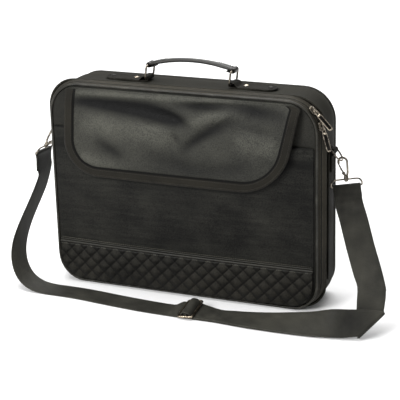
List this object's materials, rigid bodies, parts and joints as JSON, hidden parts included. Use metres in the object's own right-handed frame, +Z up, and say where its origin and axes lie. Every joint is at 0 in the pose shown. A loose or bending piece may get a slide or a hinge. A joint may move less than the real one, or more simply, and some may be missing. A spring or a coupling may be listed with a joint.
{
  "type": "tallit bag",
  "caption": "Upright zipped prayer shawl bag with a bordered front flap, pocket, quilted strip, rolled top handle and shoulder strap on snap hooks",
  "frame": {"origin": "middle of the case's width and depth, on the flat base face at floor level", "axes": "+X along the case's width, -Y the front with the flap, +Z up"},
  "size_m": [0.5672, 0.1645, 0.3356],
  "materials": {
    "case_nylon": "warm dark grey plain-woven nylon, slightly puckered at the seams",
    "front_leather": "black leather with a fine brushed grain and a soft sheen",
    "flap_leather": "black pebbled leather with soft folds and a satin sheen",
    "quilt_leather": "dark leather stitched in padded diamonds",
    "piping_leather": "smooth dark leather piping",
    "trim_webbing": "brown-black ribbed webbing, stitched near both edges",
    "handle_leather": "dark leather, rolled and stitched, folded at the rings",
    "strap_webbing": "warm dark grey woven webbing with a fine rib",
    "dark_metal": "gunmetal with warm highlights"
  },
  "bodies": {
    "root": {"case_shell": "case_nylon", "zip_band": "case_nylon", "front_panel": "front_leather", "front_piping": "piping_leather", "back_piping": "piping_leather", "front_pocket": "front_leather", "quilted_strip": "quilt_leather", "flap": "flap_leather", "flap_binding": "trim_webbing", "handle_tab_left": "handle_leather", "handle_tab_right": "handle_leather", "handle_rivet_left_inner": "dark_metal", "handle_rivet_left_outer": "dark_metal", "handle_rivet_right_inner": "dark_metal", "handle_rivet_right_outer": "dark_metal", "side_strip_left": "handle_leather", "side_strip_right": "handle_leather", "side_tab_left": "handle_leather", "side_tab_right": "handle_leather", "side_ring_left": "dark_metal", "side_ring_right": "dark_metal", "hook_body_left": "dark_metal", "hook_body_right": "dark_metal", "strap_loop_left": "dark_metal", "strap_loop_right": "dark_metal", "shoulder_strap": "strap_webbing", "strap_buckle": "dark_metal", "zip_slider_upper": "dark_metal", "zip_slider_lower": "dark_metal"},
    "handle_link_left": {"handle_ring_left": "dark_metal"},
    "handle_link_right": {"handle_ring_right": "dark_metal"},
    "grip": {"handle_grip": "handle_leather"},
    "pull_upper": {"zip_pull_upper": "dark_metal"},
    "pull_lower": {"zip_pull_lower": "dark_metal"},
    "gate_left": {"hook_gate_left": "dark_metal"},
    "gate_right": {"hook_gate_right": "dark_metal"}
  },
  "joints": [
    {"name": "handle_swing", "type": "hinge", "parent": "root", "child": "handle_link_left", "pos_m": [-0.063, 0.004, 0.30504], "axis": [0, 1, 0], "range_deg": [-65, 50]},
    {"name": "grip_turn", "type": "hinge", "parent": "handle_link_left", "child": "grip", "pos_m": [-0.06036, 0.004, 0.32386], "axis": [0, 1, 0], "range_deg": [-50, 65]},
    {"name": "handle_swing_right", "type": "hinge", "parent": "root", "child": "handle_link_right", "pos_m": [0.063, 0.004, 0.30504], "axis": [0, 1, 0], "range_deg": [-65, 50]},
    {"name": "pull_upper_turn", "type": "hinge", "parent": "root", "child": "pull_upper", "pos_m": [0.19386, -0.03495, 0.28715], "axis": [-0.3583, -0.8717, -0.3342], "range_deg": [0, 150]},
    {"name": "pull_lower_turn", "type": "hinge", "parent": "root", "child": "pull_lower", "pos_m": [0.20523, -0.03547, 0.26526], "axis": [-0.5723, -0.8035, -0.1641], "range_deg": [0, 25]},
    {"name": "gate_left_turn", "type": "hinge", "parent": "root", "child": "gate_left", "pos_m": [-0.2297, 0.006, 0.19387], "axis": [0, -1, 0], "range_deg": [0, 22], "stiffness_Nm_per_rad": 0.01},
    {"name": "gate_right_turn", "type": "hinge", "parent": "root", "child": "gate_right", "pos_m": [0.22142, 0.006, 0.19045], "axis": [0, 1, 0], "range_deg": [0, 22], "stiffness_Nm_per_rad": 0.01}
  ],
  "couplings": [
    {"joint": "grip_turn", "follows": "handle_swing", "ratio": -1},
    {"joint": "handle_swing_right", "follows": "handle_swing", "ratio": 1}
  ]
}
